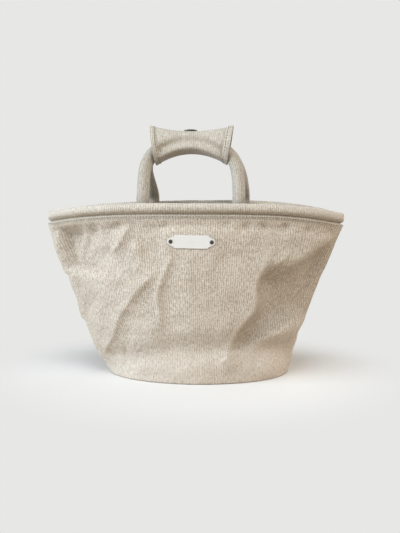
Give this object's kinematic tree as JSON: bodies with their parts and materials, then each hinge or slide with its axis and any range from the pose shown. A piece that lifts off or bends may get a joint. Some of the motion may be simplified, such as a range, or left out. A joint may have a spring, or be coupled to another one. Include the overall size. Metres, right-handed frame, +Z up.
{
  "type": "market bag",
  "caption": "Wide-mouthed linen canvas market bag with an oval base, a corded rim roll, covered rope handles and a snapped grip wrap that holds the handles together.",
  "frame": {"origin": "centre of the bag's box on the surface it stands on", "axes": "+X to the right along the mouth, seen from the front; front with the plate towards -Y; +Z up"},
  "size_m": [0.3518, 0.1396, 0.2865],
  "materials": {
    "body_canvas": "heavy natural linen canvas, washed",
    "binding_canvas": "linen canvas drawn round a cord",
    "handle_canvas": "linen canvas sewn as a tube",
    "wrap_canvas": "doubled linen canvas, hemmed",
    "rope": "laid cotton rope",
    "snap_metal": "antiqued, slightly worn",
    "plate_enamel": "white enamel, glossy",
    "rivet_metal": "darkened"
  },
  "bodies": {
    "root": {"base_panel": "body_canvas", "front_panel": "body_canvas", "back_panel": "body_canvas", "rim_binding": "binding_canvas", "rim_cord": "rope", "front_left_leg_cover": "handle_canvas", "front_left_leg_rope": "rope", "front_right_leg_cover": "handle_canvas", "front_right_leg_rope": "rope", "back_left_leg_cover": "handle_canvas", "back_left_leg_rope": "rope", "back_right_leg_cover": "handle_canvas", "back_right_leg_rope": "rope", "name_plate": "plate_enamel", "left_rivet": "rivet_metal", "right_rivet": "rivet_metal", "left_rivet_washer": "rivet_metal", "right_rivet_washer": "rivet_metal"},
    "front_handle": {"front_handle_cover": "handle_canvas", "front_handle_rope": "rope"},
    "back_handle": {"back_handle_cover": "handle_canvas", "back_handle_rope": "rope", "wrap_cradle": "wrap_canvas", "snap_stud": "snap_metal", "snap_post": "snap_metal"},
    "grip_front": {"wrap_front": "wrap_canvas"},
    "grip_flap": {"wrap_flap": "wrap_canvas", "snap_cap": "snap_metal", "snap_socket": "snap_metal"}
  },
  "joints": [
    {"name": "front_handle_fold", "type": "hinge", "parent": "root", "child": "front_handle", "pos_m": [0, -0.02924, 0.203], "axis": [1, 0, 0], "range_deg": [0, 95], "deforming": ["wrap_cradle", "wrap_front", "wrap_flap"]},
    {"name": "back_handle_fold", "type": "hinge", "parent": "root", "child": "back_handle", "pos_m": [0, 0.02924, 0.203], "axis": [-1, 0, 0], "range_deg": [0, 95]},
    {"name": "grip_front_unfold", "type": "hinge", "parent": "back_handle", "child": "grip_front", "pos_m": [0, -0.0165, 0.2555], "axis": [1, 0, 0], "range_deg": [0, 110]},
    {"name": "grip_flap_lift", "type": "hinge", "parent": "grip_front", "child": "grip_flap", "pos_m": [0, -0.0153, 0.275], "axis": [1, 0, 0], "range_deg": [0, 150]}
  ]
}
